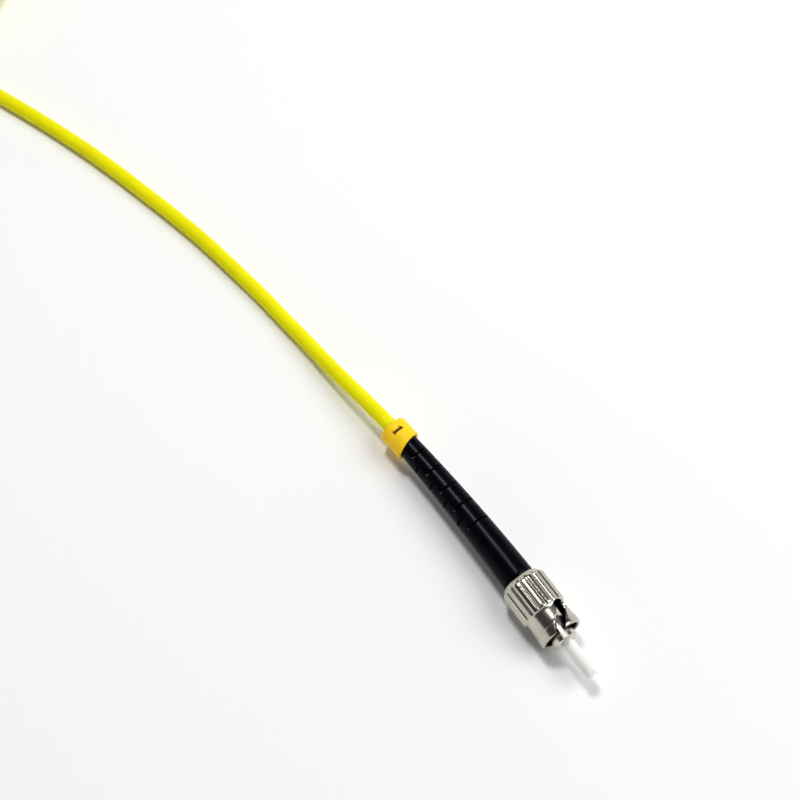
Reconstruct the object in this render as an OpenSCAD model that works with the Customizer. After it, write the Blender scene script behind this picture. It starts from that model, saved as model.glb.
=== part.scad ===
// ST fibre connector on 3 mm simplex cable: bayonet coupling nut, keyed body,
// 2.5 mm ceramic ferrule, crimped tail and a segmented bend-relief boot.
// Millimetres. The ferrule points along +X and the coupling nut lies on z = 0.
// Stations are distances behind the ferrule's tip, and x = tip_x - station.

/* [Ferrule] */
// Outside diameter of the ceramic ferrule
ferrule_d = 2.5; // [2.49:0.005:2.51]
// Length of the ceramic ferrule
ferrule_l = 12; // [11:0.5:13]
// Length of ferrule that stands out of the body
ferrule_out = 7.8; // [7:0.1:8.5]

/* [Coupling nut] */
// Length of the coupling nut
nut_l = 13.15; // [13:0.05:13.5]
// Diameter over the fluted grip
grip_d = 9.2; // [9:0.05:9.4]
// Number of grip flutes
flutes = 18; // [14:1:22]
// Depth of one grip flute
flute_depth = 0.2; // [0.1:0.05:0.3]
// Diameter of the smooth front barrel
barrel_d = 8.4; // [8.2:0.05:8.6]
// Diameter of the raised lip round the mouth
lip_d = 8.64; // [8.4:0.02:8.8]
// Bore that takes the socket's barrel
nut_bore_d = 7.2; // [7.1:0.05:7.3]
// Width of the bayonet slots
slot_w = 2.1; // [1.9:0.05:2.2]
// Turn at rest, seen from the cable end, of the first slot's mouth from the top
slot_turn = 9; // [0:1:30]

/* [Body] */
// Diameter of the body's front sleeve
sleeve_d = 4.9; // [4.7:0.05:5]
// Diameter of the tube that the nut slides on
tube_d = 5.2; // [5.1:0.05:5.3]
// Diameter of the spring flange
flange_d = 6.9; // [6.8:0.05:7]
// Width of the key
key_w = 1.2; // [1:0.05:1.4]
// Turn at rest of the key from the top
key_turn = -8; // [-15:1:0]

/* [Spring] */
// Wire diameter of the coil spring
spring_wire = 0.45; // [0.35:0.01:0.5]
// Number of turns
spring_turns = 3.75; // [3:0.25:4]

/* [Boot and marker] */
// Boot diameter at the coupling nut
boot_front_d = 6.6; // [6.4:0.05:6.8]
// Boot diameter at the cable end
boot_rear_d = 4.35; // [4.2:0.05:4.6]
// Number of slots on the boot's top, and as many below
boot_slots = 5; // [3:1:5]
// Pitch of the boot's slots
slot_pitch = 4.6; // [4:0.1:4.8]
// Width of one boot slot
boot_slot_w = 0.55; // [0.4:0.05:0.7]
// Outside diameter of the marker ring
marker_d = 6; // [5.8:0.05:6.4]

/* [Cable] */
// Outside diameter of the cable
cable_d = 3; // [2.9:0.1:3]
// Diameter of the tight buffer on the glass fibre
buffer_d = 0.9; // [0.85:0.05:0.9]
// Radius of the stored coil at the middle of its turns
coil_r = 15.7; // [15:0.1:16.5]

/* [Hidden] */
$fn = 64;

// main stations behind the ferrule's tip
part_l = 62.8;                       // tip to the marker ring's rear end
tip_x = part_l / 2;
axis_h = grip_d / 2;
nut_front = 9.35;                    // nut's mouth
nut_rear = nut_front + nut_l;
grip_front = nut_front + 5.35;       // front end of the fluted grip
flange_front = nut_front + 6.1;
flange_t = 0.95;
lip_in_t = 1.1;                      // nut's inner rear lip
lip_in_rear = nut_rear - 1;
washer_t = 0.35;
washer_front = lip_in_rear - lip_in_t - washer_t - 0.02;
ring_t = 0.5;
ring_front = lip_in_rear + 0.05;
tube_rear = nut_rear + 0.6;
stem_rear = 29.2;
jacket_front = 29.7;
crimp_rear = 34;
boot_front = nut_rear + 0.25;
boot_rear = part_l - 0.8;
marker_l = 5.6;

// radii inside the assembly
stem_r = 1.75;
seat_r = 1.05;                       // ferrule's rear end, behind its shoulder
holder_tube_r = 1;
yarn_t = 0.3;
crimp_t = 0.55;
ring_in_r = 2.2;
ring_out_r = 3.05;
fibre_r = 0.0625;
key_top_r = 3.25;
slide_gap = 0.15;                    // nut over the tube and the flange

// the boot bends in the XY plane behind the crimp: y = -bend_k * (station - bend_from)^2
bend_from = 26;
bend_k = 0.00105;
function bend_y(s) = s < bend_from ? 0 : -bend_k * pow(s - bend_from, 2);
function bend_turn(s) = s < bend_from ? 0 : atan(2 * bend_k * (s - bend_from));

// boot radius at a station
function boot_r(s) =
    boot_rear_d / 2 + (boot_front_d - boot_rear_d) / 2
    * (1 - pow((s - boot_front) / (boot_rear - boot_front), 1.12));

// ---------- helpers ----------

// children are built along +Z from the given station towards the tip, with local +X up
module turned(station) {
    translate([tip_x - station, 0, axis_h])
        rotate([0, 90, 0])
            rotate([0, 0, 180])
                children();
}

// a revolved shape whose outline is [radius, station] points
module revolved(outline) {
    turned(0)
        rotate_extrude()
            polygon([for (p = outline) [p[0], -p[1]]]);
}

// a solid through closed rings of points, all rings of the same length
module ring_solid(rings) {
    n = len(rings);
    m = len(rings[0]);
    polyhedron(
        points = [for (r = rings) each r],
        faces = concat(
            [[for (j = [0:m - 1]) j]],
            [for (i = [0:n - 2], j = [0:m - 1])
                let (k = (j + 1) % m)
                [i * m + j, (i + 1) * m + j, (i + 1) * m + k, i * m + k]],
            [[for (j = [m - 1:-1:0]) (n - 1) * m + j]]
        ),
        convexity = 6
    );
}

function unit(v) = v / norm(v);
function tangent(path, i) = unit(path[min(i + 1, len(path) - 1)] - path[max(i - 1, 0)]);

// one ring of a tube that stays upright along a nearly level path
function tube_ring(p, t, r, sides) =
    let (side = unit(cross([0, 0, 1], t)), up = cross(t, side))
    [for (j = [0:sides - 1])
        p + r * (cos(j * 360 / sides) * side + sin(j * 360 / sides) * up)];

module tube_along(path, r, sides = 8) {
    ring_solid([for (i = [0:len(path) - 1]) tube_ring(path[i], tangent(path, i), r, sides)]);
}

// ---------- fibre and ferrule ----------

module ferrule() {
    tip_chamfer = 0.4;
    funnel_l = 1.2;
    bore_r = fibre_r + 0.0015;
    color("white")
        revolved([
            [bore_r, 0], [ferrule_d / 2 - tip_chamfer * 0.7, 0],
            [ferrule_d / 2, tip_chamfer], [ferrule_d / 2, ferrule_out - 0.01],
            [seat_r, ferrule_out - 0.01], [seat_r, ferrule_l - 0.2],
            [seat_r - 0.2, ferrule_l], [buffer_d / 2 + 0.05, ferrule_l],
            [bore_r, ferrule_l - funnel_l]
        ]);
}

// bare glass from the tip back into the buffer's cut end
module glass_fibre() {
    color("lightcyan")
        turned(ferrule_l + 0.6)
            cylinder(r = fibre_r, h = ferrule_l + 0.6, $fn = 24);
}

module fibre_buffer() {
    front = ferrule_l + 0.6;
    color("white")
        turned(jacket_front)
            cylinder(d = buffer_d, h = jacket_front - front, $fn = 32);
}

// metal tube pressed into the body, which grips the ferrule's rear end
module ferrule_holder() {
    front = ferrule_l - 3.6;
    rear = 27;
    cup_r = 1.75;
    color("gainsboro")
        revolved([
            [seat_r, front], [cup_r, front], [cup_r, ferrule_l + 1.4],
            [holder_tube_r, ferrule_l + 2], [holder_tube_r, rear], [0.55, rear],
            [0.55, ferrule_l], [seat_r, ferrule_l]
        ]);
}

// ---------- body ----------

module connector_body() {
    sleeve_r = sleeve_d / 2;
    flange_rear = flange_front + flange_t;
    holder_cup_rear = ferrule_l + 2;
    color("silver")
        difference() {
            union() {
                revolved([
                    [seat_r + 0.02, ferrule_out], [sleeve_r - 0.3, ferrule_out],
                    [sleeve_r, ferrule_out + 0.3], [sleeve_r, flange_front - 0.4],
                    [sleeve_r + 0.4, flange_front], [flange_d / 2 - 0.1, flange_front],
                    [flange_d / 2, flange_front + 0.1], [flange_d / 2, flange_rear],
                    [tube_d / 2, flange_rear], [tube_d / 2, ring_front - 0.02],
                    [ring_in_r, ring_front - 0.02], [ring_in_r, ring_front + ring_t + 0.03],
                    [tube_d / 2, ring_front + ring_t + 0.03], [tube_d / 2, tube_rear],
                    [stem_r, tube_rear], [stem_r, stem_rear - 0.2],
                    [stem_r - 0.2, stem_rear], [holder_tube_r, stem_rear],
                    [holder_tube_r, holder_cup_rear], [1.75, holder_cup_rear - 0.6],
                    [1.75, ferrule_l - 3.6], [seat_r + 0.02, ferrule_l - 3.6]
                ]);
                body_key();
            }
            // grooves that the crimped yarn bites into
            for (s = [tube_rear + 0.9:0.85:stem_rear - 0.8])
                turned(s)
                    rotate_extrude()
                        translate([stem_r, 0])
                            rotate(45)
                                square(0.28, center = true);
        }
}

// the key on the front sleeve, with its top edges and front edge broken
module body_key() {
    key_l = 2.4;
    root_r = sleeve_d / 2 - 0.35;
    edge = 0.2;
    front = ferrule_out + 0.1;
    turned(front + key_l)
        rotate(-key_turn)
            intersection() {
                linear_extrude(key_l)
                    polygon([
                        [root_r, -key_w / 2], [key_top_r - edge, -key_w / 2],
                        [key_top_r, edge - key_w / 2], [key_top_r, key_w / 2 - edge],
                        [key_top_r - edge, key_w / 2], [root_r, key_w / 2]
                    ]);
                rotate_extrude()
                    polygon([
                        [0, 0], [key_top_r + 1, 0], [key_top_r + 1, key_l - 2 * edge],
                        [key_top_r - edge, key_l], [0, key_l]
                    ]);
            }
}

// ---------- spring, washer and ring ----------

module coil_spring() {
    front = flange_front + flange_t;
    mean_r = 3.02;
    steps = 16;
    wire_r = spring_wire / 2;
    span = washer_front - front - spring_wire;
    n = steps * spring_turns;
    // the end turns lie flat, and the pitch eases in between them
    function rise(u) = u < 0.2 ? 0.1 * pow(u / 0.2, 2) * 0.5
        : u > 0.8 ? 1 - 0.05 * pow((1 - u) / 0.2, 2)
        : 0.05 + 0.9 * (u - 0.2) / 0.6;
    rings = [for (i = [0:n])
        let (a = i * 360 / steps, h = wire_r + span * rise(i / n),
             out = [cos(a), sin(a), 0])
        [for (j = [0:7])
            (mean_r + wire_r * cos(j * 45)) * out + [0, 0, h - wire_r * sin(j * 45)]]];
    color("silver")
        turned(washer_front)
            ring_solid(rings);
}

module thrust_washer() {
    in_r = tube_d / 2 + 0.1;
    out_r = nut_bore_d / 2 - slide_gap;
    color("gray")
        revolved([
            [in_r, washer_front], [out_r, washer_front],
            [out_r, washer_front + washer_t], [in_r, washer_front + washer_t]
        ]);
}

// open snap ring in the groove behind the nut's inner lip
module retaining_ring() {
    gap_turn = 62;
    color("dimgray")
        turned(ring_front + ring_t)
            rotate(90 + gap_turn / 2)
                rotate_extrude(angle = 360 - gap_turn)
                    translate([ring_in_r, 0])
                        square([ring_out_r - ring_in_r, ring_t]);
}

// ---------- coupling nut ----------

// outline of the nut's wall, [radius, distance behind the mouth]
function nut_outline() =
    let (grip_r = grip_d / 2, barrel_r = barrel_d / 2, lip_r = lip_d / 2,
         bore_r = nut_bore_d / 2, hole_r = tube_d / 2 + slide_gap,
         lip_l = 1.9, grip_at = grip_front - nut_front)
    [
        [bore_r + 0.25, 0], [lip_r - 0.3, 0], [lip_r - 0.09, 0.09], [lip_r, 0.3],
        [lip_r, lip_l], [barrel_r - 0.06, lip_l + 0.05], [barrel_r - 0.06, lip_l + 0.3],
        [barrel_r, lip_l + 0.36], [barrel_r, grip_at - 0.15], [grip_r - 0.12, grip_at],
        [grip_r, grip_at + 0.35], [grip_r, nut_l - 1.35], [grip_r - 0.5, nut_l - 0.55],
        [grip_r - 0.95, nut_l], [3.3, nut_l], [3.2, nut_l - 0.1],
        [3.2, nut_l - 1], [hole_r, nut_l - 1], [hole_r, nut_l - 1 - lip_in_t],
        [bore_r, nut_l - 1 - lip_in_t], [bore_r, 0.25]
    ];

// Bayonet slot: an axial mouth, a steep ramp, then the level window where the lug locks.
// Its centre line is [turn from the mouth, distance behind the nut's front face].
slot_line = [
    [0, -0.8], [0, 0.1], [3, 0.6], [9, 1.15], [18, 1.75], [28, 2.5], [36, 3.3], [42, 4.1]
];
window_from = 38;
window_to = 84;
window_at = 4.35;
slot_in_r = nut_bore_d / 2 - 0.6;
slot_out_r = grip_d / 2 + 0.6;

// The ramp's cutter: across the centre line it is slot_w wide, measured on the barrel.
module ramp_cutter() {
    mean_r = barrel_d / 2;
    arc = mean_r * PI / 180;
    last = len(slot_line) - 1;
    line = [for (p = slot_line) [p[0] * arc, p[1]]];
    rings = [for (i = [0:last])
        let (t = unit(line[min(i + 1, last)] - line[max(i - 1, 0)]),
             across = slot_w / 2 * [-t[1], t[0]],
             a = line[i] - across, b = line[i] + across)
        [for (q = [[a, slot_in_r], [b, slot_in_r], [b, slot_out_r], [a, slot_out_r]])
            let (turn = q[0][0] / arc)
            [q[1] * cos(turn), -q[1] * sin(turn), -q[0][1]]]];
    ring_solid(rings);
}

module window_cutter() {
    half = slot_w / 2;
    wall = slot_out_r - slot_in_r;
    translate([0, 0, -window_at]) {
        for (turn = [window_from, window_to])
            rotate(-turn)
                translate([slot_in_r, 0, 0])
                    rotate([0, 90, 0])
                        cylinder(r = half, h = wall);
        translate([0, 0, -half])
            rotate(-window_to)
                rotate_extrude(angle = window_to - window_from)
                    translate([slot_in_r, 0])
                        square([wall, slot_w]);
    }
}

module coupling_nut() {
    grip_l = nut_rear - grip_front;
    flute_r = 0.62;
    color([0.72, 0.71, 0.64])
        difference() {
            revolved([for (p = nut_outline()) [p[0], p[1] + nut_front]]);
            for (i = [0:flutes - 1])
                turned(nut_rear + 1)
                    rotate(i * 360 / flutes)
                        translate([grip_d / 2 + flute_r - flute_depth, 0, 0])
                            cylinder(r = flute_r, h = grip_l + 0.9, $fn = 24);
            turned(nut_front)
                for (turn = [0, 180])
                    rotate(-slot_turn - turn) {
                        ramp_cutter();
                        window_cutter();
                    }
        }
}

// ---------- crimp ----------

// stepped sleeve: wide over the yarn on the body's stem, narrow over the cable
module crimp_sleeve() {
    wide_r = stem_r + yarn_t + 0.02;
    thin_r = cable_d / 2 + 0.03;
    wide_rear = stem_rear + 0.2;
    color("silver")
        revolved([
            [wide_r, tube_rear + 0.1], [wide_r + crimp_t, tube_rear + 0.1],
            [wide_r + crimp_t, wide_rear], [thin_r + crimp_t, wide_rear + 0.6],
            [thin_r + crimp_t, crimp_rear], [thin_r, crimp_rear],
            [thin_r, wide_rear + 0.2], [wide_r, wide_rear - 0.2]
        ]);
}

module crimped_yarn() {
    color("khaki")
        revolved([
            [stem_r + 0.01, tube_rear + 0.2], [stem_r + yarn_t, tube_rear + 0.2],
            [stem_r + yarn_t, stem_rear - 0.2], [stem_r + 0.01, stem_rear - 0.2]
        ]);
}

// ---------- boot and marker ----------

boot_sides = 28;

// rings of the bent boot or of its bore, between two stations
function boot_rings(from, to, steps, radius) =
    [for (i = [steps:-1:0])
        let (s = from + (to - from) * i / steps, t = bend_turn(s))
        [for (j = [0:boot_sides - 1])
            let (a = j * 360 / boot_sides, r = radius(s))
            [tip_x - s - r * cos(a) * sin(t), bend_y(s) + r * cos(a) * cos(t),
             axis_h + r * sin(a)]]];

function bore_r(s) = s < crimp_rear + 0.3 ? (s < stem_rear + 1.1 ? 2.85 : 2.3)
    : cable_d / 2 + 0.08;

module at_bend(s) {
    translate([tip_x - s, bend_y(s), axis_h])
        rotate([0, 0, bend_turn(s)])
            children();
}

module boot() {
    first_slot = 36.1;
    web = 0.62;                      // share of the radius that a slot leaves whole
    color([0.05, 0.05, 0.07])
        difference() {
            ring_solid(boot_rings(boot_front, boot_rear, 26, function (s) boot_r(s)));
            ring_solid(boot_rings(boot_front - 0.5, stem_rear + 1, 4, function (s) 2.85));
            ring_solid(boot_rings(stem_rear + 0.5, crimp_rear + 0.3, 3, function (s) 2.3));
            ring_solid(boot_rings(crimp_rear, boot_rear + 0.5, 16,
                function (s) cable_d / 2 + 0.08));
            for (i = [0:boot_slots - 1], side = [-1, 1])
                at_bend(first_slot + i * slot_pitch)
                    translate([-boot_slot_w / 2, -4, side > 0 ? web * 2.2 : -web * 2.2 - 4])
                        cube([boot_slot_w, 8, 4]);
            for (i = [0:boot_slots - 2], side = [-1, 1])
                at_bend(first_slot + (i + 0.5) * slot_pitch)
                    translate([-boot_slot_w / 2, side > 0 ? web * 2.2 : -web * 2.2 - 4, -4])
                        cube([boot_slot_w, 4, 8]);
        }
}

// clip-on number ring pushed over the boot's end, with a slanted front edge
module marker_ring() {
    bore_r = 2.38;
    out_r = marker_d / 2;
    edge = 0.35;
    slant = -14;
    middle = part_l - marker_l / 2;
    color([1, 0.8, 0.16])
        translate([tip_x - middle, bend_y(middle), axis_h])
            rotate([0, 0, bend_turn(middle)])
                rotate([0, 90, 0])
                    difference() {
                        translate([0, 0, -marker_l / 2])
                            rotate_extrude()
                                polygon([
                                    [bore_r, 0.3], [bore_r + 0.2, 0], [out_r - edge, 0],
                                    [out_r, edge], [out_r, marker_l + 1], [bore_r, marker_l + 1]
                                ]);
                        translate([0, 0, marker_l / 2 - 0.4])
                            rotate([slant, 0, 0])
                                translate([-5, -5, 0])
                                    cube([10, 10, 6]);
                    }
}

// ---------- cable ----------

// The cable leaves the boot level, comes down to the surface and runs on in a loose curve.
route = [
    [1.7, 0, 4.6], [-4.6, -0.1, 4.6], [-12.6, -0.34, 4.6], [-20.6, -0.71, 4.6],
    [-26.6, -1.08, 4.6], [-31.4, -1.42, 4.6], [-38, -2.1, 4.4], [-45, -2.8, 3.6],
    [-52, -3.4, 2.7], [-59, -3.9, 2], [-66, -4.6, 1.6], [-74, -5.4, 1.5],
    [-83, -6.7, 1.5], [-92, -8.1, 1.5], [-101, -10, 1.5], [-110, -12.2, 1.5],
    [-119, -14.5, 1.5], [-128, -17.1, 1.5], [-137, -20.1, 1.5], [-146, -23.4, 1.5],
    [-154, -26.6, 1.5], [-162, -30.1, 1.5], [-170, -33.5, 1.5], [-178.5, -37, 1.5],
    [-187, -40.4, 1.5]
];

// the stored coil lies beside the route's end, which runs clockwise into its outer turn
turn_gap = cable_d;
coil_outer = coil_r + turn_gap;
coil_inner = coil_r - turn_gap;
coil_start = route[len(route) - 1];
lead = unit(coil_start - route[len(route) - 2]);
coil_at = [coil_start[0] + lead[1] * coil_outer, coil_start[1] - lead[0] * coil_outer];
start_turn = atan2(coil_start[1] - coil_at[1], coil_start[0] - coil_at[0]);

// a smooth curve through the route's points, with a few steps between them
function spline(p, i, u) =
    let (a = p[max(i - 1, 0)], b = p[i], c = p[i + 1], d = p[min(i + 2, len(p) - 1)])
    0.5 * (2 * b + (c - a) * u + (2 * a - 5 * b + 4 * c - d) * u * u
        + (3 * b - a - 3 * c + d) * u * u * u);

module cable() {
    steps = 2;
    path = concat(
        [for (i = [0:len(route) - 2], k = [0:steps - 1]) spline(route, i, k / steps)],
        [route[len(route) - 1]]
    );
    color([0.95, 0.93, 0.05])
        tube_along(path, cable_d / 2);
}

// the turns of the coil, three wide and three high but for the last, as one ring
tie_turn = 225;
tie_w = 8;
tie_t = 0.5;

module at_tie() {
    translate([coil_at[0], coil_at[1], 0])
        rotate(tie_turn)
            translate([coil_r, tie_w / 2, 0])
                rotate([90, 0, 0])
                    children();
}

module cable_coil() {
    half = turn_gap * 1.5;
    corner = cable_d / 2;
    under = corner * 0.6;
    high = 3 * cable_d;
    color([0.95, 0.93, 0.05])
        difference() {
            translate([coil_at[0], coil_at[1], 0])
                rotate_extrude()
                    polygon([
                        [coil_r - half + under, 0], [coil_r + half - under, 0],
                        [coil_r + half, under], [coil_r + half, high - corner],
                        [coil_r + half - corner, high],
                        [coil_r - half + cable_d + 0.4, high],
                        [coil_r - half + cable_d, high - 0.4],
                        [coil_r - half + cable_d, high - cable_d],
                        [coil_r - half + 0.4, high - cable_d],
                        [coil_r - half, high - cable_d - 0.4], [coil_r - half, under]
                    ]);
            // the turns rise over the tie where it passes under them
            at_tie()
                translate([-half - 1, -1, -1])
                    cube([2 * half + 2, 1 + tie_t + 0.02, tie_w + 2]);
        }
}

// hook-and-loop strip right round the bundle, on the coil's far side
module coil_tie() {
    room = 0.05;
    w = 3 * turn_gap + 2 * room;
    h = 3 * cable_d + 2 * room - tie_t;
    color([0.1, 0.1, 0.11])
        at_tie()
            linear_extrude(tie_w)
                difference() {
                    translate([-w / 2 - tie_t, 0])
                        square([w + 2 * tie_t, h + 2 * tie_t]);
                    translate([-w / 2, tie_t])
                        square([w, h]);
                }
}

// The last part-turn lies in the coil's open top inner groove, and the stripped end on in it.
end_sweep = 118;                     // turn of the jacket's last stretch in the groove
end_turn = start_turn - end_sweep;
groove_z = 2 * cable_d;
end_z = groove_z + cable_d / 2;
strip_drop = 9;                      // length over which the stripped end settles
function ease(u) = u * u * (3 - 2 * u);

// A point of the stripped end, l behind the jacket's end, settling at radius r and height z.
// It leaves the jacket at radius start_r.
function end_point(l, r, z, start_r) =
    let (k = ease(min(1, l / strip_drop)), r_l = start_r + (r - start_r) * k,
         turn = end_turn - l / coil_inner * 180 / PI)
    [coil_at[0] + r_l * cos(turn), coil_at[1] + r_l * sin(turn), end_z + (z - end_z) * k];

module cable_tail() {
    color([0.95, 0.93, 0.05])
        translate([coil_at[0], coil_at[1], end_z])
            rotate(end_turn)
                rotate_extrude(angle = end_sweep)
                    translate([coil_inner, 0])
                        circle(d = cable_d - 0.04);
}

module end_buffer() {
    buffer_l = 24;
    path = [for (l = [0.05:2:buffer_l])
        end_point(l, coil_inner + 0.9, groove_z + buffer_d / 2 + 0.02, coil_inner)];
    color("white")
        tube_along(path, buffer_d / 2);
}

// cut tuft of aramid yarn beside the buffer
module end_yarn() {
    tuft_l = 12;
    tuft_r = 0.48;
    inside = coil_inner - 0.98;
    path = [for (l = [0.05:1.5:tuft_l])
        end_point(l, inside, groove_z + tuft_r + 0.02, inside)];
    color("khaki")
        ring_solid([for (i = [0:len(path) - 1])
            tube_ring(path[i], tangent(path, i), tuft_r - 0.015 * i, 8)]);
}

// ---------- nodes ----------

ferrule();
glass_fibre();
fibre_buffer();
ferrule_holder();
connector_body();
coil_spring();
thrust_washer();
retaining_ring();
coupling_nut();
crimp_sleeve();
crimped_yarn();
boot();
marker_ring();
cable();
cable_coil();
cable_tail();
coil_tie();
end_buffer();
end_yarn();
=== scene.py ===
"""ST fibre connector on yellow simplex cable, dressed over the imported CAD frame. Metres."""

import math
import random

import bmesh
import bpy
from mathutils import Matrix, Vector


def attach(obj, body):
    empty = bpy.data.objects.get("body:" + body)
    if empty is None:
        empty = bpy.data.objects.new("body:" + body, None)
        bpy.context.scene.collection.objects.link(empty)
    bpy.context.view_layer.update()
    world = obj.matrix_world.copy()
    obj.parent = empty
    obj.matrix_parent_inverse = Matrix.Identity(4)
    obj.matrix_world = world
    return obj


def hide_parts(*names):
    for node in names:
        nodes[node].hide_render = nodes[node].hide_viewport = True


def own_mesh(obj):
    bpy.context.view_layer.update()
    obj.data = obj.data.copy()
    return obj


MM = 0.001
random.seed(7)

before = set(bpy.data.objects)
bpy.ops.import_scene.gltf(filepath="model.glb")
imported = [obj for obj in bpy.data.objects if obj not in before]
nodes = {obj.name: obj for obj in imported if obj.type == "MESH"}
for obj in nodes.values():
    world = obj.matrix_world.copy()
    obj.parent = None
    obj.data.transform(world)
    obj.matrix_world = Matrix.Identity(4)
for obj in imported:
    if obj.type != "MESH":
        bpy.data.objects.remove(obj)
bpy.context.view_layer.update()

# ---------------------------------------------------------------- shared measures, in mm
TIP_X = 31.4            # ferrule tip; a station is the distance behind it
AXIS_H = 4.6
NUT_FRONT, NUT_L = 9.35, 13.15
GRIP_R, BARREL_R, LIP_R, BORE_R = 4.6, 4.2, 4.32, 3.6
FLUTES, FLUTE_DEPTH = 18, 0.2
SLOT_W, SLOT_TURN = 2.1, -8
BOOT_FRONT, BOOT_REAR = 22.75, 62.0
BOOT_FRONT_R, BOOT_REAR_R = 3.3, 2.175
BEND_FROM, BEND = 26, 0.00105   # station where the connector's line starts to bend, and how fast
PART_L = 62.8
CABLE_R = 1.5


def bend_y(s):
    return 0.0 if s < BEND_FROM else -BEND * (s - BEND_FROM) ** 2


def bend_turn(s):
    return 0.0 if s < BEND_FROM else math.atan(2 * BEND * (s - BEND_FROM))


def place(x, radius, turn):
    """The point at x, radius away from the straight axis, turned from the top towards +Y."""
    a = math.radians(turn)
    return Vector((x, radius * math.sin(a), AXIS_H + radius * math.cos(a)))


# ---------------------------------------------------------------- mesh helpers
def new_object(name, verts, faces, scale=MM):
    mesh = bpy.data.meshes.new(name)
    mesh.from_pydata([tuple(c * scale for c in v) for v in verts], [], faces)
    mesh.validate()
    mesh.update()
    obj = bpy.data.objects.new(name, mesh)
    bpy.context.scene.collection.objects.link(obj)
    bm = bmesh.new()
    bm.from_mesh(mesh)
    bmesh.ops.recalc_face_normals(bm, faces=bm.faces)
    for f in bm.faces:
        f.smooth = True
    bm.to_mesh(mesh)
    bm.free()
    return obj


def grid_faces(rings, sides, closed=False):
    """Faces between rings of points; closed joins the last ring to the first."""
    faces = []
    for i in range(rings if closed else rings - 1):
        for j in range(sides):
            k, m = (j + 1) % sides, (i + 1) % rings
            faces.append((i * sides + j, i * sides + k, m * sides + k, m * sides + j))
    return faces


def capped(name, verts, rings, sides):
    """A solid through rings of points, with a face over each end."""
    caps = [tuple(range(sides - 1, -1, -1)), tuple((rings - 1) * sides + j for j in range(sides))]
    return new_object(name, verts, grid_faces(rings, sides) + caps)


def smooth_by_angle(obj, degrees):
    """Smooth faces with sharp edges above an angle."""
    mesh = obj.data
    limit = math.radians(degrees)
    bm = bmesh.new()
    bm.from_mesh(mesh)
    for f in bm.faces:
        f.smooth = True
    for e in bm.edges:
        e.smooth = len(e.link_faces) == 2 and e.calc_face_angle(0) < limit
    bm.to_mesh(mesh)
    bm.free()


def bake(obj):
    """Applies the object's modifiers."""
    bpy.context.view_layer.update()
    shown = obj.evaluated_get(bpy.context.evaluated_depsgraph_get())
    mesh = bpy.data.meshes.new_from_object(shown)
    obj.modifiers.clear()
    obj.data = mesh


def soften(obj, smooth_angle, bevel_angle, width_mm=0.07):
    """Bevels the edges above bevel_angle, and smooths across those below smooth_angle."""
    smooth_by_angle(obj, smooth_angle)
    mod = obj.modifiers.new("edges", "BEVEL")
    mod.width = width_mm * MM
    mod.segments = 2
    mod.limit_method = "ANGLE"
    mod.angle_limit = math.radians(bevel_angle)
    mod.miter_outer = "MITER_ARC"
    mod.use_clamp_overlap = True
    bake(obj)
    smooth_by_angle(obj, smooth_angle)


def cut(obj, cutters):
    """Takes the cutters out of the object, and removes them."""
    for c in cutters:
        mod = obj.modifiers.new("cut", "BOOLEAN")
        mod.operation = "DIFFERENCE"
        mod.solver = "EXACT"
        mod.object = c
    bake(obj)
    for c in cutters:
        bpy.data.objects.remove(c)


def unit(v):
    return v.normalized()


def heading(path, i):
    """The direction of a path at its point i."""
    return unit(path[min(i + 1, len(path) - 1)] - path[max(i - 1, 0)])


def spline(points, steps):
    """A smooth curve through the points, with steps points from each to the next."""
    p = [Vector(q) for q in points]
    out = []
    for i in range(len(p) - 1):
        a, b, c, d = p[max(i - 1, 0)], p[i], p[i + 1], p[min(i + 2, len(p) - 1)]
        for k in range(steps):
            u = k / steps
            out.append(0.5 * (2 * b + (c - a) * u + (2 * a - 5 * b + 4 * c - d) * u * u
                              + (3 * b - a - 3 * c + d) * u ** 3))
    return out + [p[-1]]


def tube(name, path, radius, sides):
    """A round tube whose rings stay upright along a nearly level path."""
    verts = []
    for i, p in enumerate(path):
        t = heading(path, i)
        side = unit(Vector((0, 0, 1)).cross(t))
        up = t.cross(side)
        for j in range(sides):
            a = 2 * math.pi * j / sides
            verts.append(p + radius * (math.cos(a) * side + math.sin(a) * up))
    obj = capped(name, verts, len(path), sides)
    smooth_by_angle(obj, 50)
    return obj


# ---------------------------------------------------------------- camera
AZIMUTH, ELEVATION, DISTANCE = math.radians(55.32), math.radians(62), 0.328
TARGET = Vector((-0.0377, 0.0048, 0))
TO_CAMERA = Vector((math.sin(AZIMUTH) * math.cos(ELEVATION),
                    -math.cos(AZIMUTH) * math.cos(ELEVATION), math.sin(ELEVATION)))

cam_data = bpy.data.cameras.new("camera")
cam = bpy.data.objects.new("camera", cam_data)
bpy.context.scene.collection.objects.link(cam)
bpy.context.scene.camera = cam
cam.location = TARGET + TO_CAMERA * DISTANCE
cam.rotation_mode = "QUATERNION"
cam.rotation_quaternion = (-TO_CAMERA).to_track_quat("-Z", "Y")
cam_data.sensor_width = 36
cam_data.lens = 72.7
cam_data.clip_start, cam_data.clip_end = 0.01, 10

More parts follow.
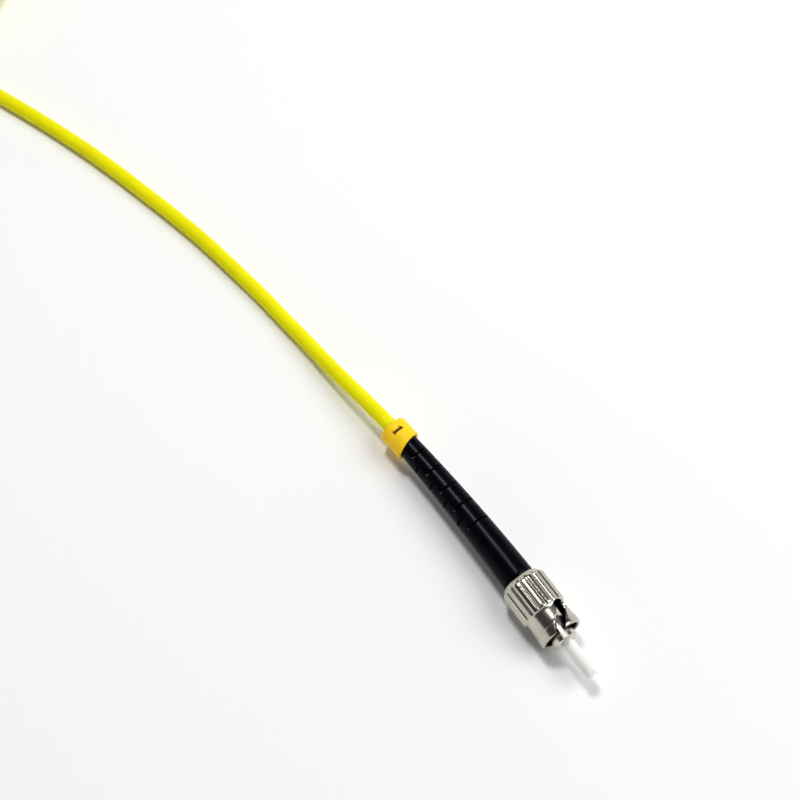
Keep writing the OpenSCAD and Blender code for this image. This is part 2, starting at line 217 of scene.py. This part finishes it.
# ---------------------------------------------------------------- cord
# the cable's line from inside the connector to the coil, as in part.scad
ROUTE = [
    (1.7, 0, 4.6), (-4.6, -0.1, 4.6), (-12.6, -0.34, 4.6), (-20.6, -0.71, 4.6),
    (-26.6, -1.08, 4.6), (-31.4, -1.42, 4.6), (-38, -2.1, 4.4), (-45, -2.8, 3.6),
    (-52, -3.4, 2.7), (-59, -3.9, 2), (-66, -4.6, 1.6), (-74, -5.4, 1.5),
    (-83, -6.7, 1.5), (-92, -8.1, 1.5), (-101, -10, 1.5), (-110, -12.2, 1.5),
    (-119, -14.5, 1.5), (-128, -17.1, 1.5), (-137, -20.1, 1.5), (-146, -23.4, 1.5),
    (-154, -26.6, 1.5), (-162, -30.1, 1.5), (-170, -33.5, 1.5), (-178.5, -37, 1.5),
    (-187, -40.4, 1.5),
]

COIL_R, PITCH = 15.7, 2 * CABLE_R
COIL_OUTER, COIL_INNER = COIL_R + PITCH, COIL_R - PITCH
lead = unit(Vector(ROUTE[-1]) - Vector(ROUTE[-2]))
coil_at = Vector((ROUTE[-1][0] + lead.y * COIL_OUTER, ROUTE[-1][1] - lead.x * COIL_OUTER, 0))
START_TURN = math.degrees(math.atan2(ROUTE[-1][1] - coil_at.y, ROUTE[-1][0] - coil_at.x))
END_SWEEP = 118.0
END_TURN = START_TURN - END_SWEEP

# The stored turns: three layers of three, from the outside in, out and in again. Each turn moves
# one place on near its end, with a small bulge where it climbs to the next layer.
INWARD = (COIL_OUTER, COIL_R, COIL_INNER)
TOP_LAYER = CABLE_R + 2 * PITCH
PLACES = [(r, CABLE_R + PITCH * layer) for layer, row in enumerate((INWARD, INWARD[::-1], INWARD))
          for r in row]
STEPS_A_TURN = 60
SHIFT = 80.0            # degrees over which a turn moves on
BULGE = 1.25


def ease(u):
    u = max(0.0, min(1.0, u))
    return u * u * (3 - 2 * u)


def coil_points():
    total = 360.0 * (len(PLACES) - 1) + END_SWEEP
    n = int(total / 360 * STEPS_A_TURN)
    out = []
    for i in range(1, n + 1):
        swept = total * i / n
        at = swept / 360
        k = min(int(at + 1e-9), len(PLACES) - 1)
        r, z = PLACES[k]
        if k + 1 < len(PLACES):
            u = ease((at - k - 1 + SHIFT / 360) / (SHIFT / 360))
            r2, z2 = PLACES[k + 1]
            bulge = BULGE * math.sin(math.pi * u) ** 0.7 if r == r2 else 0
            r, z = r + (r2 - r) * u + (bulge if r > COIL_R else -bulge), z + (z2 - z) * u
        a = math.radians(START_TURN - swept)
        out.append(Vector((coil_at.x + r * math.cos(a), coil_at.y + r * math.sin(a), z)))
    return out


def end_point(l, r, z, start=COIL_INNER, settle=9.0):
    """A point of the stripped end, l behind the jacket's end, settling at radius r, height z."""
    k = ease(l / settle)
    rr = start + (r - start) * k
    a = math.radians(END_TURN) - l / COIL_INNER
    return Vector((coil_at.x + rr * math.cos(a), coil_at.y + rr * math.sin(a),
                   TOP_LAYER + (z - TOP_LAYER) * k))


INSIDE_X = -3           # the cable is drawn from here on, within the crimp
cord_path = [p for p in spline(ROUTE, 4) if p.x < INSIDE_X] + coil_points()
jacket = tube("cable_jacket", cord_path, CABLE_R, 24)
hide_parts("cable", "cable_coil", "cable_tail")

BUFFER_R, BUFFER_LIE, BUFFER_H = 0.45, 13.6, 6.47
buffer_path = [end_point(l - 0.5, BUFFER_LIE, BUFFER_H) for l in range(0, 25)]
end_buffer = tube("stripped_buffer", buffer_path, BUFFER_R, 16)
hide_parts("end_buffer")

YARN_LIE, YARN_H = 11.75, 6.52


def yarn_tuft():
    """Loose aramid strands beside the buffer, cut square."""
    verts, faces = [], []
    strand_r, steps = 0.06, 12
    for _ in range(46):
        a, r = random.uniform(0, 2 * math.pi), 0.4 * math.sqrt(random.random())
        fan, wave = random.uniform(-0.25, 0.25), random.uniform(0.02, 0.06)
        phase = random.uniform(0, 6.28)
        length = random.uniform(10.8, 11.6)
        base = len(verts)
        for i in range(steps + 1):
            u = i / steps
            p = end_point(u * length - 0.4 * (1 - u), YARN_LIE, YARN_H, YARN_LIE)
            q = end_point(u * length + 0.1, YARN_LIE, YARN_H, YARN_LIE) - p
            side = unit(Vector((0, 0, 1)).cross(q))
            p = p + side * (r * math.cos(a) + fan * u + wave * math.sin(6 * u + phase)) \
                + Vector((0, 0, r * math.sin(a) * (1 - 0.3 * u)))
            for j in range(4):
                b = math.pi / 2 * j
                verts.append(p + strand_r * (math.cos(b) * side + Vector((0, 0, math.sin(b)))))
        faces += [tuple(base + k for k in face) for face in grid_faces(steps + 1, 4)]
    return new_object("aramid_tuft", verts, faces)


tuft = yarn_tuft()
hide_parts("end_yarn")


TIE_TURN = 225


def tie_strip():
    """Hook-and-loop strip round the bundle."""
    w, h, t, width = 9.1, 9.1, 0.5, 8.0
    corner = 1.5
    loop = []
    for cx, cy, a0 in ((w / 2 - corner, h - corner, 0), (-w / 2 + corner, h - corner, 90),
                       (-w / 2 + corner, corner, 180), (w / 2 - corner, corner, 270)):
        for k in range(7):
            a = math.radians(a0 + 15 * k)
            nx, ny = math.cos(a), math.sin(a)
            loop.append((cx + corner * nx, cy + corner * ny, nx, ny))
    verts, faces = [], []
    frame_at = Matrix.Translation((coil_at.x, coil_at.y, 0)) \
        @ Matrix.Rotation(math.radians(TIE_TURN), 4, "Z") \
        @ Matrix.Translation((COIL_R, width / 2, 0)) @ Matrix.Rotation(math.pi / 2, 4, "X")
    across = 7
    for x, y, nx, ny in loop:
        for out in (0.02, t - 0.02):
            for k in range(across):
                v = Vector((x + nx * out, max(0.03, y + ny * out),
                            width * (0.02 + 0.96 * k / (across - 1))))
                verts.append(frame_at @ v)
    n = len(loop)

    def vid(i, o, k):
        return (i % n) * 2 * across + o * across + k

    for i in range(n):
        for k in range(across - 1):
            faces.append((vid(i, 1, k), vid(i + 1, 1, k), vid(i + 1, 1, k + 1), vid(i, 1, k + 1)))
            faces.append((vid(i, 0, k), vid(i, 0, k + 1), vid(i + 1, 0, k + 1), vid(i + 1, 0, k)))
        for k in (0, across - 1):
            faces.append((vid(i, 0, k), vid(i + 1, 0, k), vid(i + 1, 1, k), vid(i, 1, k)))
    obj = new_object("hook_loop_strip", verts, faces)
    smooth_by_angle(obj, 40)
    return obj


strip = tie_strip()
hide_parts("coil_tie")
for piece in (jacket, end_buffer, tuft, strip):
    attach(piece, "plug_body")

# ---------------------------------------------------------------- materials
def material(name):
    mat = bpy.data.materials.new(name)
    mat.use_nodes = True
    nt = mat.node_tree
    bsdf = nt.nodes["Principled BSDF"]
    return mat, nt, bsdf


def node(nt, kind, **values):
    n = nt.nodes.new(kind)
    for k, v in values.items():
        setattr(n, k, v)
    return n


def coords(nt, scale=(1, 1, 1)):
    tc = nt.nodes.new("ShaderNodeTexCoord")
    mp = nt.nodes.new("ShaderNodeMapping")
    mp.inputs["Scale"].default_value = scale
    nt.links.new(tc.outputs["Object"], mp.inputs["Vector"])
    return mp.outputs["Vector"]


def noise(nt, vector, scale, detail=3.0, rough=0.5):
    n = nt.nodes.new("ShaderNodeTexNoise")
    n.inputs["Scale"].default_value = scale
    n.inputs["Detail"].default_value = detail
    n.inputs["Roughness"].default_value = rough
    nt.links.new(vector, n.inputs["Vector"])
    return n.outputs["Fac"]


def ramp(nt, factor, stops):
    r = nt.nodes.new("ShaderNodeValToRGB")
    while len(r.color_ramp.elements) > 1:
        r.color_ramp.elements.remove(r.color_ramp.elements[-1])
    for i, (pos, colour) in enumerate(stops):
        e = r.color_ramp.elements[0] if i == 0 else r.color_ramp.elements.new(pos)
        e.position = pos
        e.color = (*colour, 1) if len(colour) == 3 else colour
    nt.links.new(factor, r.inputs["Fac"])
    return r.outputs["Color"]


def paint_bore_shade(nt, colour, bsdf, inner_mm, outer_mm, shade_colour):
    """Painted shade inside a bore: darkens the metal towards a near black shade colour by distance from
    the connector's axis.
    """
    tc = nt.nodes.new("ShaderNodeTexCoord")
    sp = node(nt, "ShaderNodeSeparateXYZ")
    nt.links.new(tc.outputs["Object"], sp.inputs["Vector"])
    z = node(nt, "ShaderNodeMath", operation="SUBTRACT")
    nt.links.new(sp.outputs["Z"], z.inputs[0])
    z.inputs[1].default_value = AXIS_H * MM
    joined = node(nt, "ShaderNodeCombineXYZ")
    nt.links.new(sp.outputs["Y"], joined.inputs["Y"])
    nt.links.new(z.outputs[0], joined.inputs["Z"])
    far = node(nt, "ShaderNodeVectorMath", operation="LENGTH")
    nt.links.new(joined.outputs[0], far.inputs[0])
    share = nt.nodes.new("ShaderNodeMapRange")
    share.inputs["From Min"].default_value = inner_mm * MM
    share.inputs["From Max"].default_value = outer_mm * MM
    nt.links.new(far.outputs["Value"], share.inputs["Value"])
    mix = nt.nodes.new("ShaderNodeMix")
    mix.data_type = "RGBA"
    nt.links.new(share.outputs["Result"], mix.inputs["Factor"])
    mix.inputs[6].default_value = (*shade_colour, 1)
    nt.links.new(colour, mix.inputs[7])
    nt.links.new(mix.outputs[2], bsdf.inputs["Base Color"])


def value_range(nt, factor, low, high):
    m = nt.nodes.new("ShaderNodeMapRange")
    m.inputs["To Min"].default_value = low
    m.inputs["To Max"].default_value = high
    nt.links.new(factor, m.inputs["Value"])
    return m.outputs["Result"]


def bump(nt, height, strength, distance_mm, bsdf):
    b = nt.nodes.new("ShaderNodeBump")
    b.inputs["Strength"].default_value = strength
    b.inputs["Distance"].default_value = distance_mm * MM
    nt.links.new(height, b.inputs["Height"])
    nt.links.new(b.outputs["Normal"], bsdf.inputs["Normal"])


def metal(name, low, high, rough, streak, bore=None):
    mat, nt, bsdf = material(name)
    bsdf.inputs["Metallic"].default_value = 1.0
    colour = ramp(nt, noise(nt, coords(nt), 260, 4), [(0.3, low), (0.75, high)])
    nt.links.new(colour, bsdf.inputs["Base Color"])
    # painted shade: the metal inside the bore turns near black
    if bore:
        paint_bore_shade(nt, colour, bsdf, *bore, (0.012, 0.011, 0.009))
    fine = noise(nt, coords(nt, streak), 1.0, 4, 0.6)
    nt.links.new(value_range(nt, fine, rough * 0.75, rough * 1.3), bsdf.inputs["Roughness"])
    bump(nt, fine, 0.1, 0.01, bsdf)
    return mat


def plastic(name, low, high, rough, coat=0.0, grain=900, bump_strength=0.06, subsurface=0.0,
            spec=0.5):
    mat, nt, bsdf = material(name)
    v = coords(nt)
    colour = ramp(nt, noise(nt, v, 180, 3), [(0.3, low), (0.7, high)])
    nt.links.new(colour, bsdf.inputs["Base Color"])
    fine = noise(nt, v, grain, 4, 0.6)
    nt.links.new(value_range(nt, fine, rough * 0.8, rough * 1.2), bsdf.inputs["Roughness"])
    bsdf.inputs["Coat Weight"].default_value = coat
    bsdf.inputs["Coat Roughness"].default_value = 0.1
    bsdf.inputs["Specular IOR Level"].default_value = spec
    if subsurface:
        bsdf.inputs["Subsurface Weight"].default_value = subsurface
        bsdf.inputs["Subsurface Radius"].default_value = (0.6, 0.5, 0.35)
        bsdf.inputs["Subsurface Scale"].default_value = 0.001
    bump(nt, fine, bump_strength, 0.02, bsdf)
    return mat


def glass(name):
    mat, nt, bsdf = material(name)
    bsdf.inputs["Transmission Weight"].default_value = 0.9
    v = coords(nt)
    rough = value_range(nt, noise(nt, v, 2000), 0.02, 0.06)
    nt.links.new(rough, bsdf.inputs["Roughness"])
    colour = ramp(nt, noise(nt, v, 900), [(0.3, (0.8, 0.86, 0.86)), (0.7, (0.9, 0.94, 0.94))])
    nt.links.new(colour, bsdf.inputs["Base Color"])
    return mat


# the nut's nickel, with painted shade inside its bore
NICKEL = metal("nickel_plate", (0.48, 0.455, 0.39), (0.58, 0.555, 0.48), 0.2,
               streak=(260, 5200, 5200), bore=(BORE_R + 0.02, BORE_R + 0.25))
TURNED = metal("turned_nickel", (0.55, 0.53, 0.47), (0.66, 0.64, 0.58), 0.2,
               streak=(9000, 200, 200))
STEEL = metal("spring_steel", (0.42, 0.42, 0.42), (0.55, 0.55, 0.54), 0.3,
              streak=(1500, 1500, 1500))
CERAMIC = plastic("zirconia", (0.8, 0.81, 0.78), (0.86, 0.87, 0.83), 0.3, coat=0.2,
                  subsurface=0.3, bump_strength=0.01)
BOOT = plastic("boot_elastomer", (0.001, 0.0012, 0.003), (0.002, 0.0023, 0.005), 0.26,
               bump_strength=0.03, spec=0.05)
AMBER = plastic("amber_marker", (0.97, 0.56, 0.008), (1.0, 0.66, 0.014), 0.5,
                subsurface=0.1, spec=0.15)
YELLOW = plastic("yellow_jacket", (0.8, 0.75, 0.001), (0.86, 0.81, 0.002), 0.5,
                 bump_strength=0.04, spec=0.06)
BUFFER = plastic("white_buffer", (0.8, 0.79, 0.74), (0.88, 0.87, 0.83), 0.4)
YARN = plastic("aramid", (0.62, 0.45, 0.1), (0.78, 0.62, 0.2), 0.5, grain=3000,
               bump_strength=0.3)
TIE = plastic("hook_and_loop", (0.01, 0.01, 0.011), (0.03, 0.03, 0.032), 0.9, grain=2600,
              bump_strength=0.9)
GLASS = glass("fibre_glass")


def paint(obj, mat):
    obj.data.materials.clear()
    obj.data.materials.append(mat)


paint(jacket, YELLOW)
paint(end_buffer, BUFFER)
paint(tuft, YARN)
paint(strip, TIE)


# ---------------------------------------------------------------- coupling nut
def nut_outline():
    """Outline of the nut's wall: [radius, distance behind the mouth, flute share]."""
    out = [(BORE_R + 0.25, 0, 0), (LIP_R - 0.32, 0, 0), (LIP_R - 0.14, 0.05, 0),
           (LIP_R - 0.04, 0.17, 0), (LIP_R, 0.36, 0), (LIP_R, 0.9, 0), (LIP_R, 1.4, 0),
           (LIP_R, 1.78, 0), (LIP_R - 0.03, 1.88, 0), (BARREL_R - 0.05, 1.97, 0),
           (BARREL_R - 0.05, 2.2, 0), (BARREL_R - 0.01, 2.3, 0), (BARREL_R, 2.36, 0)]
    out += [(BARREL_R, 2.6 + 0.5 * k, 0) for k in range(5)]
    out += [(BARREL_R, 5.12, 0), (BARREL_R + 0.03, 5.2, 0), (GRIP_R - 0.12, 5.36, 0.3),
            (GRIP_R - 0.04, 5.48, 0.7), (GRIP_R, 5.66, 1)]
    out += [(GRIP_R, 6.1 + 0.5 * k, 1) for k in range(12)]
    out += [(GRIP_R - 0.03, 11.86, 0.95), (GRIP_R - 0.14, 12.06, 0.7), (GRIP_R - 0.34, 12.36, 0.3),
            (GRIP_R - 0.52, 12.62, 0.05), (GRIP_R - 0.74, 12.88, 0), (GRIP_R - 0.9, 13.06, 0),
            (GRIP_R - 1.02, 13.14, 0), (GRIP_R - 1.12, NUT_L, 0)]
    # the rear opening and its lip, then the bore
    out += [(3.32, NUT_L, 0), (3.22, 13.1, 0), (3.2, 13.0, 0), (3.2, 12.15, 0), (2.76, 12.15, 0),
            (2.75, 12.1, 0), (2.75, 11.1, 0), (2.76, 11.05, 0), (BORE_R, 11.05, 0)]
    out += [(BORE_R, 10 - 1.5 * k, 0) for k in range(7)]
    return out + [(BORE_R, 0.3, 0)]


def flute_at(turn):
    """Share of the flute's depth at a turn: a hollow with a flat land between it and the next."""
    pitch = 360 / FLUTES
    off = abs((turn / pitch + 0.5) % 1 - 0.5) * 2      # 0 mid-hollow, 1 in the middle of the land
    half = 0.66
    return 0.0 if off > half else (1 + math.cos(math.pi * off / half)) / 2


# degrees round the barrel and distance behind the mouth
SLOT_LINE = [(0, -0.8), (0, 0.1), (3, 0.6), (9, 1.15), (18, 1.75), (28, 2.5), (36, 3.3), (42, 4.1)]
WINDOW_FROM, WINDOW_TO, WINDOW_AT = 38, 84, 4.35


def slot_cutters(turn):
    """The ramp and the window of one bayonet slot."""
    degree = BARREL_R * math.pi / 180           # its length on the barrel
    half = SLOT_W / 2
    r_in, r_out = BORE_R - 0.5, GRIP_R + 0.5

    def at(q, r):
        return place(TIP_X - NUT_FRONT - q.y, r, turn + q.x / degree)

    def window_end(middle, start):
        turns = [start + math.pi * k / 16 for k in range(17)]
        return [Vector((middle * degree + half * math.cos(a), WINDOW_AT + half * math.sin(a), 0))
                for a in turns]

    def window_side(a, b, depth):
        return [Vector(((a + (b - a) * k / 12) * degree, depth, 0)) for k in range(1, 12)]

    line = spline([(a * degree, d, 0) for a, d in SLOT_LINE], 4)
    verts = []
    for i, p in enumerate(line):
        t = heading(line, i)
        across = Vector((-t.y, t.x, 0)) * SLOT_W / 2
        low, high = p - across, p + across
        verts += [at(low, r_in), at(high, r_in), at(high, r_out), at(low, r_out)]
    ramp_cutter = capped("ramp_cutter", verts, len(line), 4)
    rim = window_end(WINDOW_FROM, math.pi / 2)
    rim += window_side(WINDOW_FROM, WINDOW_TO, WINDOW_AT - half)
    rim += window_end(WINDOW_TO, -math.pi / 2)
    rim += window_side(WINDOW_TO, WINDOW_FROM, WINDOW_AT + half)
    verts = [at(q, r) for r in (r_in, r_out) for q in rim]
    window_cutter = capped("window_cutter", verts, 2, len(rim))
    for o in (ramp_cutter, window_cutter):
        bm = bmesh.new()
        bm.from_mesh(o.data)
        bmesh.ops.triangulate(bm, faces=[f for f in bm.faces if len(f.verts) > 4])
        bmesh.ops.recalc_face_normals(bm, faces=bm.faces)
        bm.to_mesh(o.data)
        bm.free()
    return [ramp_cutter, window_cutter]


def build_nut():
    outline, sides = nut_outline(), FLUTES * 16
    verts = []
    for r, d, share in outline:
        for j in range(sides):
            turn = 360 * j / sides
            radius = r - FLUTE_DEPTH * share * flute_at(turn)
            verts.append(place(TIP_X - NUT_FRONT - d, radius, turn))
    nut = new_object("nut_shell", verts, grid_faces(len(outline), sides, closed=True))
    cut(nut, slot_cutters(SLOT_TURN) + slot_cutters(SLOT_TURN + 180))
    soften(nut, 28, 38)
    return nut


nut = build_nut()
paint(nut, NICKEL)
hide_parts("coupling_nut")
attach(nut, "nut")

# ---------------------------------------------------------------- boot
def boot_r(s):
    u = max(0.0, (s - BOOT_FRONT) / (BOOT_REAR - BOOT_FRONT))
    return BOOT_REAR_R + (BOOT_FRONT_R - BOOT_REAR_R) * (1 - u ** 1.12)


def bent(s, radius, turn):
    """A point round the bent boot's line at a station; turn is from the top towards +Y."""
    a, t = math.radians(turn), bend_turn(s)
    side = radius * math.sin(a)
    return Vector((TIP_X - s - side * math.sin(t), bend_y(s) + side * math.cos(t),
                   AXIS_H + radius * math.cos(a)))


# The slots' half width, and how far from the axis they stop: just outside the cable.
BOOT_SLOT_HALF, BOOT_SLOT_FLOOR, BOOT_SLOT_PITCH = 0.2, 1.74, 4.6


def boot_slot(s, side_turn):
    """A box that cuts a slot into one side of the boot."""
    c, t, a = bent(s, 0, 0), bend_turn(s), math.radians(side_turn)
    along = Vector((-math.cos(t), -math.sin(t), 0))
    out = Vector((0, 0, 1)) * math.cos(a) + Vector((-math.sin(t), math.cos(t), 0)) * math.sin(a)
    across = along.cross(out)
    reach = 4.2
    verts = [c + along * d + out * o + across * q for d in (-BOOT_SLOT_HALF, BOOT_SLOT_HALF)
             for o in (BOOT_SLOT_FLOOR, reach) for q in (-reach, reach)]
    return new_object("boot_slot", verts, [(0, 1, 3, 2), (4, 6, 7, 5), (0, 2, 6, 4),
                                           (1, 5, 7, 3), (0, 4, 5, 1), (2, 3, 7, 6)])


def build_boot():
    sides, rows, rim = 96, 157, 0.22
    stations = [BOOT_FRONT + (BOOT_REAR - BOOT_FRONT) * i / (rows - 1) for i in range(rows)]
    front_r, rear_r = boot_r(BOOT_FRONT), boot_r(BOOT_REAR)
    outer = [(front_r - rim, BOOT_FRONT), (front_r - rim * 0.3, BOOT_FRONT + rim * 0.3)]
    outer += [(boot_r(s), s) for s in stations[1:-1]]
    outer += [(rear_r - 0.07, BOOT_REAR - 0.07), (rear_r - 0.22, BOOT_REAR)]
    inner = [(1.6, BOOT_REAR), (1.58, 54.0), (1.58, 46.0), (1.58, 38.0), (1.58, 34.3),
             (2.3, 34.2), (2.3, 30.3), (2.85, 30.2), (2.85, BOOT_FRONT)]
    outline = outer + inner
    verts = [bent(s, r, 360 * j / sides) for r, s in outline for j in range(sides)]
    boot = new_object("boot_shell", verts, grid_faces(len(outline), sides, closed=True))
    cutters = [boot_slot(36.1 + BOOT_SLOT_PITCH * i, turn) for i in range(5) for turn in (0, 180)]
    cutters += [boot_slot(38.4 + BOOT_SLOT_PITCH * i, turn) for i in range(4) for turn in (90, 270)]
    cut(boot, cutters)
    soften(boot, 35, 40)
    return boot


boot = build_boot()
paint(boot, BOOT)
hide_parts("boot")
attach(boot, "plug_body")

# ---------------------------------------------------------------- marker ring
MARKER_R, MARKER_L, MARKER_BORE, MARKER_SLANT = 3.0, 5.6, 2.38, 14


def marker_point(back_from_rear, radius, turn):
    """A point on the ring, a distance in front of its rear end."""
    middle = PART_L - MARKER_L / 2
    a, t = math.radians(turn), bend_turn(middle)
    x = MARKER_L / 2 - back_from_rear
    side = radius * math.sin(a)
    return Vector((TIP_X - middle - x * math.cos(t) - side * math.sin(t),
                   bend_y(middle) - x * math.sin(t) + side * math.cos(t), AXIS_H + radius * math.cos(a)))


def marker_front(radius, turn):
    """Length of the slanted ring at a turn: longer on the -Y side."""
    slope = math.tan(math.radians(MARKER_SLANT))
    return MARKER_L - 0.4 - slope * radius * math.sin(math.radians(turn))


def build_marker():
    sides, verts = 120, []
    # radius, distance in front of the rear end, and share of the way from there to the front
    profile = [(MARKER_BORE, 0.3, 0), (MARKER_BORE + 0.12, 0.08, 0), (MARKER_BORE + 0.24, 0.02, 0),
               (MARKER_R - 0.36, 0.0, 0), (MARKER_R - 0.2, 0.05, 0), (MARKER_R - 0.07, 0.17, 0),
               (MARKER_R, 0.36, 0)]
    profile += [(MARKER_R, 0.36, u / 8) for u in range(1, 8)]
    # radius and distance behind the front
    edge = [(MARKER_R, 0.2), (MARKER_R - 0.05, 0.07), (MARKER_R - 0.16, 0.0),
            (MARKER_BORE + 0.1, 0.0), (MARKER_BORE, 0.07)]
    for point in profile + edge:
        for j in range(sides):
            turn = 360 * j / sides
            front = marker_front(point[0], turn)
            if len(point) == 2:
                at = front - point[1]
            else:
                at = point[1] + (front - 0.3 - point[1]) * point[2]
            verts.append(marker_point(at, point[0], turn))
    rings = len(profile) + len(edge)
    ring = new_object("number_ring", verts, grid_faces(rings, sides, closed=True))
    smooth_by_angle(ring, 45)
    return ring


def build_digit():
    """A printed 1, wrapped round the ring's top, its head towards +Y."""
    at, top_turn, height, stem = 2.2, -6.0, 2.25, 0.58
    # columns of short quads: the stem, its foot and the flag at its head
    strips = [[(-stem / 2, y, stem / 2, y) for y in (i * height / 14 for i in range(15))],
              [(-0.5, y, 0.5, y) for y in (0.0, 0.11, 0.22)],
              [(-0.62 + 0.47 * u, height - 0.72 + 0.42 * u, -0.62 + 0.6 * u, height - 0.44 + 0.42 * u)
               for u in (0.0, 0.25, 0.5, 0.75, 1.0)]]
    verts, faces = [], []
    for n, column in enumerate(strips):
        base = len(verts)
        for x0, y0, x1, y1 in column:
            for x, y in ((x0, y0), (x1, y1)):
                turn = top_turn + math.degrees((y - height / 2) / MARKER_R)
                verts.append(marker_point(at + x, MARKER_R + 0.008 + 0.003 * n, turn))
        faces += [tuple(base + 2 * i + k for k in (0, 1, 3, 2)) for i in range(len(column) - 1)]
    return new_object("printed_digit", verts, faces)


ring = build_marker()
paint(ring, AMBER)
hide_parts("marker_ring")
digit = build_digit()
INK = plastic("brown_print", (0.05, 0.02, 0.004), (0.09, 0.035, 0.008), 0.6, spec=0.1)
paint(digit, INK)
for piece in (ring, digit):
    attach(piece, "plug_body")

# ---------------------------------------------------------------- spring
def build_spring():
    """Round-wire spring between the flange and the washer, its end turns closed."""
    front, rear, wire, mean, turns = 16.42, 20.0, 0.225, 3.02, 3.75
    steps, closed, lift = 150, 0.55, 0.24       # closed turns at each end, and their rise
    low, high = front + wire, rear - wire
    path = []
    for i in range(steps + 1):
        at = turns * i / steps
        rise = max(0.0, min(1.0, (at - closed) / (turns - 2 * closed)))
        last = max(0.0, min(1.0, (at - turns + closed) / closed))
        s = low + lift * min(1, at / closed) + (high - low - 2 * lift) * rise + lift * last
        path.append(place(TIP_X - s, mean, 40 + 360 * at))
    sides, verts = 14, []
    for i, p in enumerate(path):
        out = unit(Vector((0, p.y, p.z - AXIS_H)))
        up = heading(path, i).cross(out)
        for j in range(sides):
            a = 2 * math.pi * j / sides
            verts.append(p + wire * (math.cos(a) * out + math.sin(a) * up))
    spring = capped("round_wire_spring", verts, len(path), sides)
    smooth_by_angle(spring, 50)
    return spring


spring = build_spring()
paint(spring, STEEL)
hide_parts("coil_spring")
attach(spring, "plug_body")
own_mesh(spring)


def repaint(name, mat):
    for s in nodes[name].material_slots:
        s.material = mat


for name, mat in (("ferrule", CERAMIC), ("glass_fibre", GLASS), ("fibre_buffer", BUFFER),
                  ("ferrule_holder", TURNED), ("connector_body", TURNED), ("thrust_washer", STEEL),
                  ("retaining_ring", STEEL), ("crimp_sleeve", TURNED), ("crimped_yarn", YARN)):
    repaint(name, mat)

# ---------------------------------------------------------------- floor and light
floor = new_object("floor", [(-3, -3, 0), (3, -3, 0), (3, 3, 0), (-3, 3, 0)], [(0, 1, 2, 3)], scale=1)
floor.location.z = -0.00002
fmat, fnt, fb = material("floor_white")
fb.inputs["Base Color"].default_value = (0.93, 0.93, 0.93, 1)
fb.inputs["Roughness"].default_value = 0.9
floor.data.materials.append(fmat)

world = bpy.data.worlds.new("world")
bpy.context.scene.world = world
world.use_nodes = True
wnt = world.node_tree
sky = node(wnt, "ShaderNodeTexCoord")
split = node(wnt, "ShaderNodeSeparateXYZ")
wnt.links.new(sky.outputs["Generated"], split.inputs["Vector"])
# a bright horizon under a dark dome, so that the metal has something to reflect
dome = ramp(wnt, split.outputs["Z"], [(0.0, (1.0, 1.0, 0.99)), (0.24, (0.9, 0.9, 0.88)),
                                      (0.42, (0.045, 0.045, 0.05)), (1.0, (0.06, 0.06, 0.065))])
wnt.links.new(dome, wnt.nodes["Background"].inputs["Color"])
wnt.nodes["Background"].inputs["Strength"].default_value = 1.0


def area(name, at, size, power):
    """A square light, turned to the scene's origin."""
    data = bpy.data.lights.new(name, "AREA")
    data.energy = power
    data.size = size
    obj = bpy.data.objects.new(name, data)
    obj.location = at
    obj.rotation_mode = "QUATERNION"
    obj.rotation_quaternion = (-Vector(at)).to_track_quat("-Z", "Y")
    bpy.context.scene.collection.objects.link(obj)


area("key_light", (-0.33, 0.06, 0.78), 0.16, 3.2)
area("wide_light", (0.35, 0.62, 0.85), 0.8, 9.0)

bpy.context.scene.view_settings.view_transform = "Standard"
